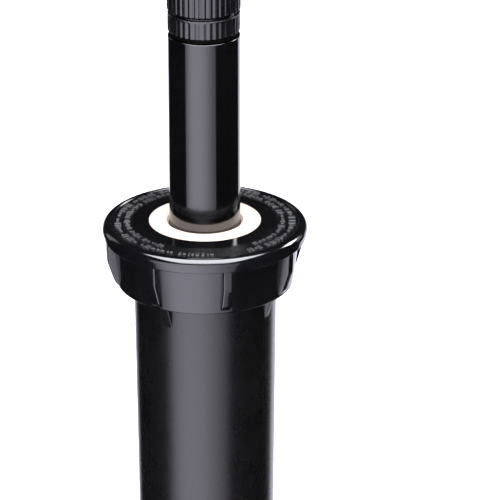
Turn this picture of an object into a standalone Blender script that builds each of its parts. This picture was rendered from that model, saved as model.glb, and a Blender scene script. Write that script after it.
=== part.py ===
"""Pop-up spray sprinkler, standing on its inlet with the riser fully raised.

Frame: +Z up, the origin at the centre of the inlet's lower face, the front at -Y.
An azimuth is measured from the front (-Y) towards +X.
"""
import math

import bmesh
import bpy
from mathutils import Matrix, Vector

MM = 0.001

# Driving dimensions, in millimetres.
CAP_TOP = 124.0             # height of the closed sprinkler
CAP_RADIUS = 28.5           # exposed diameter 57
RIM_ROUND = 1.6             # radius of the cap's rounded rim
FLANGE_UNDERSIDE = 120.2
SKIRT_BOTTOM = 106.7
SKIRT_TOP_RADIUS = 26.2
SKIRT_BOTTOM_RADIUS = 24.6
SKIRT_BORE = 22.5
CAP_HOLE = 15.6

BODY_TOP = 118.9
BODY_UPPER_RADIUS = 19.85
BODY_LOWER_RADIUS = 19.05
BODY_SHOULDER = 16.5        # height where the neck meets the body
BODY_CORNER = 3.5
BODY_FLOOR = 18.2
BORE_LOWER = 17.3
BORE_UPPER = 17.9
NECK_RADIUS = 15.2
INLET_ROOT = 10.55          # thread root radius at the mouth, 1/2 in pipe thread
INLET_PITCH = 1.8
INLET_TAPER = 1.0 / 32.0
WEB_HOLE = 7.5

THREAD_ROOT = 21.2          # closing thread between body and cap
THREAD_CREST = 22.1
THREAD_PITCH = 2.8
THREAD_FIRST = 116.4

STEM_RADIUS = 9.87
STEM_BORE = 8.1
STEM_TOP = 179.1
STEM_ROUND = 0.9            # rounding of the stem's upper edge
RISER_BASE = 94.9           # lowest point of the raised riser
FLANGE_TOP = 98.8
TOOTH = 0.7
GAP = 0.3                   # clearance between neighbouring pieces

SEAL_BORE = 10.45
SEAL_TOP = 124.7
SPRING_RADIUS = 13.4
SPRING_WIRE = 1.1
SPRING_TURNS = 10
SPRING_LOW = 102.6
SPRING_HIGH = 116.0

BASE_LOW = 180.5
BASE_HIGH = 185.6
BASE_RADIUS = 9.85
DECK_LOW = 186.1            # underside of the base's deck, over the filter
DECK_HIGH = 187.9
COLLAR_LOW = 186.7
COLLAR_HIGH = 193.6
COLLAR_RADIUS = 10.03
SLOT_LOW = 188.2            # the collar's deck, which holds the arc slot
SLOT_HIGH = 189.8
DEFLECTOR_TOP = 198.4
DEFLECTOR_RADIUS = 9.2
SCREW_TOP = 199.6

RIB_COUNT = 8               # guide ribs in the body, keys in the ratchet ring
FIN_COUNT = 8
FIN_FIRST_AZIMUTH = 13.5
LUG_AZIMUTHS = (-30.0, 60.0, 150.0, 240.0)
RATCHET_TEETH = 18

OBJECT_NAME = "pop_up_sprinkler"
CUTTER_COLLECTION = "cutters"


# ---------------------------------------------------------------- scene set-up

def clear_scene():
    for old in list(bpy.data.objects):
        bpy.data.objects.remove(old, do_unlink=True)


def new_collection(name):
    collection = bpy.data.collections.new(name)
    bpy.context.scene.collection.children.link(collection)
    return collection


def material(name, colour, roughness, metallic=0.0):
    made = bpy.data.materials.new(name)
    made.use_nodes = True
    shader = made.node_tree.nodes["Principled BSDF"]
    shader.inputs["Base Color"].default_value = (*colour, 1.0)
    shader.inputs["Roughness"].default_value = roughness
    shader.inputs["Metallic"].default_value = metallic
    made.diffuse_color = (*colour, 1.0)
    return made


# ---------------------------------------------------------------- shape helpers

def place(mesh, name, collection):
    """Link a mesh as an object of the given name."""
    made = bpy.data.objects.new(name, mesh)
    collection.objects.link(made)
    return made


def as_tool(tool):
    """Mark an object as a Boolean operand that isn't part of the model."""
    tool.hide_render = True
    tool.display_type = 'WIRE'
    return tool


def turned(name, profile, steps, collection):
    """Turn a closed outline of (radius, height) pairs, listed down its outer side first."""
    mesh = bpy.data.meshes.new(name)
    points = [(radius * MM, 0.0, height * MM) for radius, height in profile]
    edges = [(i, (i + 1) % len(points)) for i in range(len(points))]
    mesh.from_pydata(points, edges, [])
    made = place(mesh, name, collection)
    screw = made.modifiers.new("turn", 'SCREW')
    screw.angle = math.tau
    screw.steps = steps
    screw.render_steps = steps
    screw.use_merge_vertices = True
    screw.merge_threshold = 0.00001
    return made


def arc(centre, radius, start, end, count):
    """Points of an arc in the (radius, height) plane, angles in degrees."""
    angles = [math.radians(start + (end - start) * i / count) for i in range(count + 1)]
    return [(centre[0] + radius * math.cos(a), centre[1] + radius * math.sin(a)) for a in angles]


def prism(outline, thickness):
    """Mesh of a flat (x, z) outline, thickened along y about y = 0."""
    curve = bpy.data.curves.new("outline", 'CURVE')
    curve.dimensions = '2D'
    curve.fill_mode = 'BOTH'
    curve.extrude = thickness / 2.0 * MM
    spline = curve.splines.new('POLY')
    spline.points.add(len(outline) - 1)
    for point, (x, z) in zip(spline.points, outline):
        point.co = (x * MM, z * MM, 0.0, 1.0)
    spline.use_cyclic_u = True
    carrier = bpy.data.objects.new("outline", curve)
    bpy.context.scene.collection.objects.link(carrier)
    bpy.context.view_layer.update()
    mesh = bpy.data.meshes.new_from_object(carrier.evaluated_get(bpy.context.evaluated_depsgraph_get()))
    bpy.data.objects.remove(carrier, do_unlink=True)
    shape = bmesh.new()
    shape.from_mesh(mesh)
    bmesh.ops.remove_doubles(shape, verts=shape.verts, dist=0.000001)
    bmesh.ops.rotate(shape, verts=shape.verts, matrix=Matrix.Rotation(math.pi / 2.0, 3, 'X'))
    bmesh.ops.recalc_face_normals(shape, faces=shape.faces)
    shape.to_mesh(mesh)
    shape.free()
    return mesh


def taper_width(mesh, inner, outer):
    """Scale a fin's width along its radius: each end is (radius, factor)."""
    for vertex in mesh.vertices:
        share = (vertex.co.x / MM - inner[0]) / (outer[0] - inner[0])
        vertex.co.y *= inner[1] + (outer[1] - inner[1]) * min(max(share, 0.0), 1.0)


def block(size, centre):
    """Mesh of a box of the given size, centred on a point."""
    mesh = bpy.data.meshes.new("block")
    shape = bmesh.new()
    bmesh.ops.create_cube(shape, size=1.0)
    bmesh.ops.scale(shape, verts=shape.verts, vec=Vector(size) * MM)
    bmesh.ops.translate(shape, verts=shape.verts, vec=Vector(centre) * MM)
    shape.to_mesh(mesh)
    shape.free()
    return mesh


def rod(radius, low, high, centre, segments):
    """Mesh of an upright cylinder."""
    mesh = bpy.data.meshes.new("rod")
    shape = bmesh.new()
    bmesh.ops.create_cone(shape, cap_ends=True, segments=segments, radius1=radius * MM,
                          radius2=radius * MM, depth=(high - low) * MM)
    middle = Vector((centre[0], centre[1], (low + high) / 2.0)) * MM
    bmesh.ops.translate(shape, verts=shape.verts, vec=middle)
    shape.to_mesh(mesh)
    shape.free()
    return mesh


def around(name, mesh, azimuths, collection):
    """One object holding a copy of the mesh, drawn at +X, at each azimuth from the front."""
    ring = bmesh.new()
    for azimuth in azimuths:
        before = len(ring.verts)
        ring.from_mesh(mesh)
        ring.verts.ensure_lookup_table()
        turn = Matrix.Rotation(math.radians(azimuth - 90.0), 3, 'Z')
        bmesh.ops.rotate(ring, verts=ring.verts[before:], matrix=turn)
    joined = bpy.data.meshes.new(name)
    ring.to_mesh(joined)
    ring.free()
    return as_tool(place(joined, name, collection))


def even(count, first=0.0):
    return [first + 360.0 * i / count for i in range(count)]


def combine(piece, tool, operation):
    change = piece.modifiers.new(tool.name, 'BOOLEAN')
    change.operation = operation
    change.object = tool
    change.solver = 'EXACT'


def finish(piece, surface, sharp_angle=35.0):
    """Apply the modifiers, give the piece its material and shade its round faces smooth."""
    bpy.context.view_layer.update()
    shown = piece.evaluated_get(bpy.context.evaluated_depsgraph_get())
    mesh = bpy.data.meshes.new_from_object(shown)
    piece.modifiers.clear()
    if piece.type == 'CURVE':
        shape = bmesh.new()
        shape.from_mesh(mesh)
        bmesh.ops.remove_doubles(shape, verts=shape.verts, dist=0.000001)
        bmesh.ops.recalc_face_normals(shape, faces=shape.faces)
        shape.to_mesh(mesh)
        shape.free()
        name = piece.name
        collection = piece.users_collection[0]
        bpy.data.objects.remove(piece, do_unlink=True)
        piece = place(mesh, name, collection)
    mesh.name = piece.name
    piece.data = mesh
    mesh.materials.clear()
    mesh.materials.append(surface)
    mesh.shade_smooth()
    mesh.set_sharp_from_angle(angle=math.radians(sharp_angle))
    return piece


# ---------------------------------------------------------------- fixed pieces

def closing_ridges(root, crest, first, half_root, downwards):
    """Outline points of the closing thread's three ridges, in the order the outline runs."""
    points = []
    for i in range(3):
        z = first - THREAD_PITCH * i
        points += [(root, z + half_root), (crest, z), (root, z - half_root)]
    return points if downwards else points[::-1]


def inlet_thread():
    """Outline of the inlet's pipe thread, from the mouth upwards."""
    points = []
    for i in range(6):
        z = 1.4 + INLET_PITCH * i
        root = INLET_ROOT - z * INLET_TAPER
        points += [(root - 0.95, z), (root, z + INLET_PITCH / 2.0)]
    return points


def body_case(parts, cutters, surface):
    """The outer case: threaded neck, drawn body, guide ribs and the closing thread."""
    outer = [(20.7, BODY_TOP), (THREAD_ROOT, BODY_TOP - 0.5)]
    outer += closing_ridges(THREAD_ROOT, THREAD_CREST, THREAD_FIRST, 0.9, True)
    outer += [(THREAD_ROOT, 109.0), (20.6, 108.4), (20.6, 105.6), (BODY_UPPER_RADIUS, 104.9)]
    corner = (BODY_LOWER_RADIUS - BODY_CORNER, BODY_SHOULDER + BODY_CORNER)
    outer += arc(corner, BODY_CORNER, 0.0, -90.0, 4)
    outer += [(NECK_RADIUS, BODY_SHOULDER - 0.4), (NECK_RADIUS, 0.8), (NECK_RADIUS - 0.6, 0.0)]
    inner = [(INLET_ROOT + 0.5, 0.0)] + inlet_thread()
    inner += [(9.3, 13.2), (9.3, 15.2), (WEB_HOLE, 15.2), (WEB_HOLE, BODY_FLOOR)]
    inner += [(10.2, BODY_FLOOR), (10.4, BODY_FLOOR + 0.4), (11.2, BODY_FLOOR + 0.4), (11.4, BODY_FLOOR)]
    inner += arc((BORE_LOWER - 2.2, BODY_FLOOR + 2.2), 2.2, -90.0, 0.0, 2)
    inner += [(BORE_UPPER, BODY_TOP - 0.5), (BORE_UPPER + 0.4, BODY_TOP)]
    case = turned("body_case", outer + inner, 32, parts)

    rib = [(16.2, 19.4), (18.2, 18.9), (18.2, 112.0), (17.2, 112.0), (16.2, 110.6)]
    ribs = around("guide_ribs", prism(rib, 1.2), even(RIB_COUNT, 22.5), cutters)
    combine(case, ribs, 'UNION')

    lug = [(19.0, 99.4), (19.8, 99.4), (21.9, 105.9), (21.9, 108.0), (20.8, 108.9), (19.0, 108.9)]
    lug_mesh = prism(lug, 2.6)
    taper_width(lug_mesh, (19.0, 1.0), (21.9, 0.7))
    combine(case, around("case_lugs", lug_mesh, LUG_AZIMUTHS, cutters), 'UNION')
    return finish(case, surface)


def screw_cap(parts, cutters, surface):
    """The cap: flange with a raised rim and a sunk band, threaded skirt and eight grip fins."""
    rim = (CAP_RADIUS - RIM_ROUND, CAP_TOP - RIM_ROUND)
    outer = [(26.6, CAP_TOP - 0.05)] + arc(rim, RIM_ROUND, 90.0, 0.0, 4)
    outer += [(28.2, FLANGE_UNDERSIDE + 0.2), (28.0, FLANGE_UNDERSIDE)]
    outer += [(SKIRT_TOP_RADIUS + 0.3, FLANGE_UNDERSIDE), (SKIRT_TOP_RADIUS, FLANGE_UNDERSIDE - 0.5)]
    outer += [(SKIRT_BOTTOM_RADIUS, SKIRT_BOTTOM + 0.5), (SKIRT_BOTTOM_RADIUS - 0.4, SKIRT_BOTTOM)]
    inner = [(SKIRT_BORE + 0.4, SKIRT_BOTTOM), (SKIRT_BORE, SKIRT_BOTTOM + 0.5)]
    first = THREAD_FIRST - THREAD_PITCH / 2.0
    inner += closing_ridges(SKIRT_BORE, SKIRT_BORE - 0.9, first, 0.7, False)
    inner += [(SKIRT_BORE, 118.9), (21.4, FLANGE_UNDERSIDE), (CAP_HOLE, FLANGE_UNDERSIDE)]
    inner += [(CAP_HOLE, CAP_TOP - 0.5), (CAP_HOLE + 0.3, CAP_TOP - 0.1), (19.6, CAP_TOP - 0.1)]
    inner += [(19.9, CAP_TOP - 0.4), (26.2, CAP_TOP - 0.4)]
    cap = turned("screw_cap", outer + inner, 40, parts)

    fin = [(23.6, 107.6), (24.9, 107.6), (25.9, 108.8), (27.8, 114.7),
           (28.0, FLANGE_UNDERSIDE + 0.6), (23.6, FLANGE_UNDERSIDE + 0.6)]
    fin_mesh = prism(fin, 2.2)
    taper_width(fin_mesh, (25.0, 1.0), (28.0, 0.7))
    fins = around("cap_fins", fin_mesh, even(FIN_COUNT, FIN_FIRST_AZIMUTH), cutters)
    combine(cap, fins, 'UNION')
    return finish(cap, surface)


def wiper_seal(parts, surface):
    """Soft seal: crowned ring in the cap's hole, a lip on the stem, a flange on the case's rim."""
    profile = [(14.9, SEAL_TOP), (15.3, SEAL_TOP - 0.4), (15.3, FLANGE_UNDERSIDE - GAP),
               (20.6, FLANGE_UNDERSIDE - GAP), (20.6, BODY_TOP + GAP), (11.2, BODY_TOP + GAP),
               (10.95, 115.5), (10.6, 115.3), (SEAL_BORE, 115.8),
               (SEAL_BORE, SEAL_TOP - 0.6), (SEAL_BORE + 0.3, SEAL_TOP - 0.1)]
    return finish(turned("wiper_seal", profile, 32, parts), surface)


def spring_seat_ring(parts, surface):
    """Hard ring under the seal, with a collar that centres the spring."""
    profile = [(17.2, 118.6), (17.5, 118.3), (17.5, SPRING_HIGH + GAP), (12.1, SPRING_HIGH + GAP),
               (11.9, 114.4), (11.5, 114.4), (11.5, 118.6)]
    return finish(turned("spring_seat_ring", profile, 24, parts), surface)


def retraction_spring(parts, surface):
    """Compression spring, pressed nearly solid while the riser is up."""
    curve = bpy.data.curves.new("retraction_spring", 'CURVE')
    curve.dimensions = '3D'
    curve.bevel_depth = SPRING_WIRE / 2.0 * MM
    curve.bevel_resolution = 1
    curve.use_fill_caps = True
    per_turn = 10
    count = SPRING_TURNS * per_turn + 1
    low = SPRING_LOW + SPRING_WIRE / 2.0
    high = SPRING_HIGH - SPRING_WIRE / 2.0
    spline = curve.splines.new('POLY')
    spline.points.add(count - 1)
    for i, point in enumerate(spline.points):
        angle = math.tau * i / per_turn
        z = low + (high - low) * i / (count - 1)
        point.co = (SPRING_RADIUS * math.cos(angle) * MM, SPRING_RADIUS * math.sin(angle) * MM, z * MM, 1.0)
    return finish(place(curve, "retraction_spring", parts), surface, 60.0)


# ---------------------------------------------------------------- riser and its ratchet

def tooth_gaps(name, point, mouth, cutters):
    """Radial V grooves, from their point to their mouth, that leave a ring of ratchet teeth."""
    half = 13.6 * math.radians(360.0 / RATCHET_TEETH) * 0.36
    groove = prism([(0.0, point), (half, mouth), (-half, mouth)], 6.5)
    groove.transform(Matrix.Translation((14.25 * MM, 0.0, 0.0)) @ Matrix.Rotation(math.pi / 2.0, 4, 'Z'))
    return around(name, groove, even(RATCHET_TEETH), cutters)


def ratchet_ring(parts, cutters, surface):
    """Ring keyed to the guide ribs, with teeth that click over the riser's teeth."""
    low = FLANGE_TOP + TOOTH + GAP
    deck = low + TOOTH
    profile = [(16.7, SPRING_LOW - GAP), (17.0, SPRING_LOW - 0.6), (17.0, deck), (15.3, deck),
               (15.1, low), (12.1, low), (11.9, deck), (10.4, deck), (10.4, SPRING_LOW - GAP)]
    ring = turned("ratchet_ring", profile, 24, parts)
    combine(ring, tooth_gaps("ring_tooth_gaps", deck - 0.1, low - 0.2, cutters), 'DIFFERENCE')
    notch = block((2.6, 2.0, 6.0), (17.1, 0.0, deck))
    combine(ring, around("ring_keyways", notch, even(RIB_COUNT, 22.5), cutters), 'DIFFERENCE')
    return finish(ring, surface)


def riser_stem(parts, cutters, surface):
    """The stem: toothed flange below, smooth tube, threaded neck above."""
    outer = [(8.2, 183.2), (8.5, 182.9)]
    for i in range(3):
        z = 182.6 - 1.0 * i
        outer += [(8.5, z), (8.1, z - 0.5)]
    outer += [(8.1, STEM_TOP)]
    outer += arc((STEM_RADIUS - STEM_ROUND, STEM_TOP - STEM_ROUND), STEM_ROUND, 90.0, 0.0, 3)
    outer += [(STEM_RADIUS, FLANGE_TOP), (11.9, FLANGE_TOP), (12.1, FLANGE_TOP + TOOTH)]
    outer += [(15.1, FLANGE_TOP + TOOTH), (15.3, FLANGE_TOP), (15.7, FLANGE_TOP), (15.7, 96.8)]
    inner = [(STEM_BORE, 96.8), (STEM_BORE, 177.4), (7.0, 178.6), (7.0, 183.2)]
    stem = turned("riser_stem", outer + inner, 32, parts)
    gaps = tooth_gaps("stem_tooth_gaps", FLANGE_TOP + 0.1, FLANGE_TOP + TOOTH + 0.2, cutters)
    combine(stem, gaps, 'DIFFERENCE')
    return finish(stem, surface)


def check_valve_seal(parts, surface):
    """Soft washer under the riser, which closes on the case's floor when the riser is down."""
    profile = [(13.0, 96.5), (13.2, 96.3), (13.2, RISER_BASE), (9.1, RISER_BASE), (9.1, 95.8),
               (8.2, 95.8), (8.2, 96.5)]
    return finish(turned("check_valve_seal", profile, 24, parts), surface)


def check_valve_holder(parts, surface):
    """Flanged sleeve pressed into the riser's foot, which holds the washer."""
    profile = [(7.5, 102.0), (7.8, 101.7), (7.8, 95.5), (8.8, 95.5), (8.8, RISER_BASE),
               (6.6, RISER_BASE), (6.6, 102.0)]
    return finish(turned("check_valve_holder", profile, 24, parts), surface)


# ---------------------------------------------------------------- nozzle and filter

def grooves(name, count, radius, width, depth, low, high, cutters):
    """Upright grooves around a ring, which leave its grip ribs."""
    slot = block((2.0 * depth, width, high - low), (radius, 0.0, (low + high) / 2.0))
    return around(name, slot, even(count), cutters)


def nozzle_gasket(parts, surface):
    low = STEM_TOP + GAP
    high = BASE_LOW - GAP
    profile = [(9.35, high), (9.35, low), (8.8, low), (8.8, high)]
    return finish(turned("nozzle_gasket", profile, 24, parts), surface)


def nozzle_base(parts, cutters, surface):
    """Lower ring of the nozzle, screwed on the stem, with the water passages in its deck."""
    profile = [(8.1, DECK_HIGH), (8.1, 186.5), (9.3, 186.5), (9.3, BASE_HIGH),
               (BASE_RADIUS - 0.15, BASE_HIGH), (BASE_RADIUS, BASE_HIGH - 0.2),
               (BASE_RADIUS, BASE_LOW + 0.2), (BASE_RADIUS - 0.2, BASE_LOW), (8.85, BASE_LOW),
               (8.85, DECK_LOW), (3.7, DECK_LOW), (3.7, DECK_HIGH)]
    ring = turned("nozzle_base", profile, 32, parts)
    ribs = grooves("base_grooves", 30, 9.95, 0.8, 0.4, BASE_LOW + 0.6, BASE_HIGH - 0.6, cutters)
    combine(ring, ribs, 'DIFFERENCE')
    hole = rod(1.0, DECK_LOW - 0.8, DECK_HIGH + 0.8, (6.1, 0.0), 10)
    combine(ring, around("base_passages", hole, even(8), cutters), 'DIFFERENCE')
    return finish(ring, surface)


def filter_basket(parts, cutters, surface):
    """Filter frame hanging in the stem, with two rows of windows."""
    top = DECK_LOW - GAP
    profile = [(8.2, top), (8.4, top - 0.2), (8.4, 183.5), (6.6, 183.5), (6.3, 144.0), (5.3, 142.6),
               (0.0, 142.6), (0.0, 143.8), (5.0, 143.8), (5.5, 144.6), (5.7, top)]
    basket = turned("filter_basket", profile, 24, parts)
    for name, low, high in (("lower_windows", 147.0, 162.5), ("upper_windows", 165.5, 180.0)):
        window = block((3.0, 3.4, high - low), (6.2, 0.0, (low + high) / 2.0))
        combine(basket, around(name, window, even(6, 7.5), cutters), 'DIFFERENCE')
    return finish(basket, surface)


def filter_gauze(parts, surface):
    """Fine gauze sleeve that lines the filter frame."""
    profile = [(5.1, 180.6), (5.1, 144.2), (4.85, 144.2), (4.85, 180.6)]
    return finish(turned("filter_gauze", profile, 24, parts), surface)


def nozzle_hub(parts, surface):
    """Central tube that carries the collar and the deflector."""
    flange = DECK_LOW - GAP
    profile = [(3.1, 195.0), (3.4, 194.7), (3.4, flange), (4.4, flange), (4.4, flange - 0.8),
               (1.9, flange - 0.8), (1.9, 195.0)]
    return finish(turned("nozzle_hub", profile, 24, parts), surface)


def collar_friction_ring(parts, surface):
    """Rubber ring that holds the arc collar where it is set."""
    section = arc((8.8, 187.2), 0.4, 90.0, -225.0, 7)
    return finish(turned("collar_friction_ring", section, 24, parts), surface)


def arc_collar(parts, cutters, surface):
    """Grip collar that sets the watered arc: its deck has the arc slot."""
    profile = [(COLLAR_RADIUS - 0.2, COLLAR_HIGH), (COLLAR_RADIUS, COLLAR_HIGH - 0.2),
               (COLLAR_RADIUS, COLLAR_LOW + 0.2), (COLLAR_RADIUS - 0.2, COLLAR_LOW), (9.6, COLLAR_LOW),
               (9.6, SLOT_LOW), (3.7, SLOT_LOW), (3.7, SLOT_HIGH), (8.3, SLOT_HIGH), (8.3, COLLAR_HIGH)]
    collar = turned("arc_collar", profile, 32, parts)
    ribs = grooves("collar_grooves", 24, 10.2, 0.9, 0.6, COLLAR_LOW + 0.5, COLLAR_HIGH + 1.0, cutters)
    combine(collar, ribs, 'DIFFERENCE')
    port = rod(1.0, SLOT_LOW - 0.7, SLOT_HIGH + 0.7, (6.1, 0.0), 10)
    ports = [22.5 + 45.0 * i for i in range(-2, 2)]
    combine(collar, around("arc_ports", port, ports, cutters), 'DIFFERENCE')
    return finish(collar, surface)


def nozzle_deflector(parts, surface):
    """Fixed top that throws the spray outwards under its rim."""
    foot = SLOT_HIGH + GAP
    profile = [(8.6, DEFLECTOR_TOP), (DEFLECTOR_RADIUS, 197.8), (DEFLECTOR_RADIUS, 195.0), (8.9, 194.6),
               (6.2, 193.4), (4.6, 191.6), (4.5, foot), (3.7, foot), (3.7, 195.3), (2.0, 195.3),
               (2.0, 196.9), (3.1, 197.2), (3.1, DEFLECTOR_TOP - 0.4), (3.5, DEFLECTOR_TOP)]
    return finish(turned("nozzle_deflector", profile, 32, parts), surface)


def radius_screw(parts, cutters, surface):
    """Stainless screw with a slotted head, which sets the throw."""
    profile = [(0.0, SCREW_TOP), (2.4, SCREW_TOP), (2.7, SCREW_TOP - 0.3), (2.7, 197.5), (1.5, 197.2),
               (1.5, 172.6), (1.1, 172.2), (0.0, 172.2)]
    screw = turned("radius_screw", profile, 20, parts)
    slot = block((6.0, 0.7, 1.6), (0.0, 0.0, SCREW_TOP))
    combine(screw, around("screw_slot", slot, [90.0], cutters), 'DIFFERENCE')
    return finish(screw, surface)


def screw_stop_clip(parts, surface):
    """Spring clip near the screw's end, which stops the nut from running off it."""
    profile = [(2.8, 173.6), (2.8, 173.0), (1.8, 173.0), (1.8, 173.6)]
    return finish(turned("screw_stop_clip", profile, 20, parts), surface)


def throttle_nut(parts, surface):
    """Plug on the screw, which closes the flow under the hub as the screw is turned."""
    profile = [(2.6, 180.6), (4.4, 179.2), (4.4, 176.2), (4.0, 175.8), (1.8, 175.8), (1.8, 180.6)]
    return finish(turned("throttle_nut", profile, 24, parts), surface)


# ---------------------------------------------------------------- assembly

def main():
    clear_scene()
    parts = new_collection(OBJECT_NAME)
    cutters = new_collection(CUTTER_COLLECTION)
    satin_black = material("satin_black_plastic", (0.012, 0.012, 0.013), 0.38)
    gloss_black = material("gloss_black_plastic", (0.010, 0.010, 0.011), 0.16)
    nozzle_black = material("nozzle_plastic", (0.020, 0.020, 0.022), 0.42)
    white_seal = material("white_seal_rubber", (0.86, 0.85, 0.82), 0.55)
    black_rubber = material("black_rubber", (0.018, 0.018, 0.018), 0.70)
    grey_plastic = material("grey_plastic", (0.34, 0.35, 0.36), 0.45)
    stainless = material("stainless_steel", (0.62, 0.62, 0.60), 0.28, 1.0)

    body_case(parts, cutters, satin_black)
    screw_cap(parts, cutters, satin_black)
    wiper_seal(parts, white_seal)
    spring_seat_ring(parts, grey_plastic)
    retraction_spring(parts, stainless)
    ratchet_ring(parts, cutters, grey_plastic)
    riser_stem(parts, cutters, gloss_black)
    check_valve_seal(parts, black_rubber)
    check_valve_holder(parts, grey_plastic)
    nozzle_gasket(parts, black_rubber)
    nozzle_base(parts, cutters, nozzle_black)
    filter_basket(parts, cutters, grey_plastic)
    filter_gauze(parts, stainless)
    nozzle_hub(parts, nozzle_black)
    collar_friction_ring(parts, black_rubber)
    arc_collar(parts, cutters, nozzle_black)
    nozzle_deflector(parts, nozzle_black)
    radius_screw(parts, cutters, stainless)
    screw_stop_clip(parts, stainless)
    throttle_nut(parts, grey_plastic)


main()
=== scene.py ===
"""Looks of the pop-up sprinkler: fine meshes, materials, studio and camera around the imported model.

Outlines are (radius, height) pairs in millimetres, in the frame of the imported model. An azimuth
is measured from the front (-Y) towards +X: in degrees where it is a constant, and in radians in
formulas.
"""

import math
import random

import bmesh
import bpy
from mathutils import Matrix, Vector

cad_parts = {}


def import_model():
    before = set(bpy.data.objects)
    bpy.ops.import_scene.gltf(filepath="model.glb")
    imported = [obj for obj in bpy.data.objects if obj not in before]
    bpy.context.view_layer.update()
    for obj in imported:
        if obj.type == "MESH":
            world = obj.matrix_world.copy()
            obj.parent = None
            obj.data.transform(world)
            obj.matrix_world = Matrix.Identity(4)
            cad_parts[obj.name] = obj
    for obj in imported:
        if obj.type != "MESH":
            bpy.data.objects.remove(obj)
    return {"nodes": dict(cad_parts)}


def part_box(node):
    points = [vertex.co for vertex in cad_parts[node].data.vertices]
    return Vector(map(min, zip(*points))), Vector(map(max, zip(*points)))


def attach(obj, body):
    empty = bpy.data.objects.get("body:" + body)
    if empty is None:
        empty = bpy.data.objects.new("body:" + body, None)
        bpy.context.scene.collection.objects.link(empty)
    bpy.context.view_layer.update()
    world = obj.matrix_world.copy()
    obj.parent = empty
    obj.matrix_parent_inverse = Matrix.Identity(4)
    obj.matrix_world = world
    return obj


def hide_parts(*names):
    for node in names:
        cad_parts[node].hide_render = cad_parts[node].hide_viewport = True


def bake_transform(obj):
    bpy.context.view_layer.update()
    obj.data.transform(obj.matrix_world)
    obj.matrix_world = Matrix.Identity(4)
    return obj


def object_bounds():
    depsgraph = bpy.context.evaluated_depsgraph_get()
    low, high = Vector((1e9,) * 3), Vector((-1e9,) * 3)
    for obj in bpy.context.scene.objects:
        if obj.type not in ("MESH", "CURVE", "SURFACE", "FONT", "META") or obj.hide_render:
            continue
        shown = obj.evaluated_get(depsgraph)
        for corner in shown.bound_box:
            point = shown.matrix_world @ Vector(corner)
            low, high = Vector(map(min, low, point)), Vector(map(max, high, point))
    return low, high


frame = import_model()
cad_box = [list(corner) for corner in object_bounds()]

MM = 0.001
ROUND_STEPS = 160           # facets around a turned piece
FINE_STEPS = 360            # facets around a ribbed ring
RIBS = 36                   # grip ribs around each nozzle ring
MERGE = 0.000001            # points closer than this, in metres, are joined
DEGENERATE = 0.0000001      # edges shorter than this, in metres, are dissolved


def node_top(name):
    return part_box(name)[1].z / MM


def node_foot(name):
    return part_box(name)[0].z / MM


def node_radius(name):
    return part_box(name)[1].x / MM


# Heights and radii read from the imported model, in millimetres.
CAP_TOP = node_top("screw_cap") + 0.3   # the fine rim stands a little higher than the plain one
CAP_RADIUS = node_radius("screw_cap")
SKIRT_BOTTOM = node_foot("screw_cap")
BODY_TOP = node_top("body_case")
SEAL_TOP = node_top("wiper_seal")
BASE_LOW = node_foot("nozzle_base")
BASE_RADIUS = node_radius("nozzle_base")
COLLAR_LOW = node_foot("arc_collar")
COLLAR_HIGH = node_top("arc_collar")
COLLAR_RADIUS = node_radius("arc_collar")
DEFLECTOR_TOP = node_top("nozzle_deflector")
DEFLECTOR_RADIUS = node_radius("nozzle_deflector")
SCREW_TOP = node_top("radius_screw")
SCREW_FOOT = node_foot("radius_screw")

# Sizes of the fine pieces, in millimetres.
RIM_ROUND = 2.1
FLANGE_UNDERSIDE = 120.2
CAP_HOLE = 15.6
SKIRT_RADIUS = 24.6         # outside of the cap's skirt at its foot
SKIRT_BORE = 22.5
BAND_INNER = 20.0           # the sunk band on the cap, between its inner ring and its rim
BAND_OUTER = 26.0
BAND_HIGH = SEAL_TOP - 0.35
BAND_LOW = CAP_TOP - 0.4
MARK_GAP = 0.55             # between the bars of a group of raised marks
GROUP_GAP = 1.3             # added between two groups
BODY_RADIUS_HIGH = 19.85    # the body's drawn taper
BODY_RADIUS_LOW = 19.05
BODY_SHOULDER = 16.5
BODY_FLOOR = 18.2
NECK_RADIUS = 15.2
GUIDE_CREST = 16.2          # inner edge of the guide ribs in the body's bore
CLOSING_ROOT = 21.2         # closing thread between case and cap
CLOSING_PITCH = 2.8
CLOSING_DEPTH = 0.9
INLET_PITCH = 1.8           # 1/2 in pipe thread in the neck
INLET_DEPTH = 0.95
SEAL_BORE = 10.12
SPRING_RADIUS = 13.4
STEM_RADIUS = 9.87
STEM_BORE = 8.1
STEM_NECK = 8.5
STEM_TOP = 179.1
STEM_FLANGE_TOP = 98.8
TOOTH_HEIGHT = 0.7
RATCHET_TEETH = 18
HUB_BORE = 3.7              # bore of the nozzle's pieces round the central tube
PASSAGE_CIRCLE = 6.1        # radius of the circle of the nozzle's water passages
SCREW_PITCH = 0.7

# Places around the axis, in degrees.
FIN_AZIMUTHS = [13.8 + 45.0 * i for i in range(8)]
LUG_AZIMUTHS = [-30.0 + 90.0 * i for i in range(4)]
GUIDE_AZIMUTHS = [22.5 + 45.0 * i for i in range(8)]


# ---------------------------------------------------------------- outlines

def rounded(corners, count=4):
    """Closed outline with rounded corners: each corner is (radius, height, rounding)."""
    outline = []
    total = len(corners)
    for i, (x, z, size) in enumerate(corners):
        here = Vector((x, z))
        back = Vector(corners[i - 1][:2]) - here
        ahead = Vector(corners[(i + 1) % total][:2]) - here
        if size == 0.0:
            outline.append((x, z))
            continue
        reach = min(size, 0.7 * back.length, 0.7 * ahead.length)
        start = here + back.normalized() * reach
        end = here + ahead.normalized() * reach
        for k in range(count + 1):
            t = k / count
            point = start * (1.0 - t) ** 2 + here * 2.0 * t * (1.0 - t) + end * t ** 2
            outline.append((point.x, point.y))
    return outline


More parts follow.
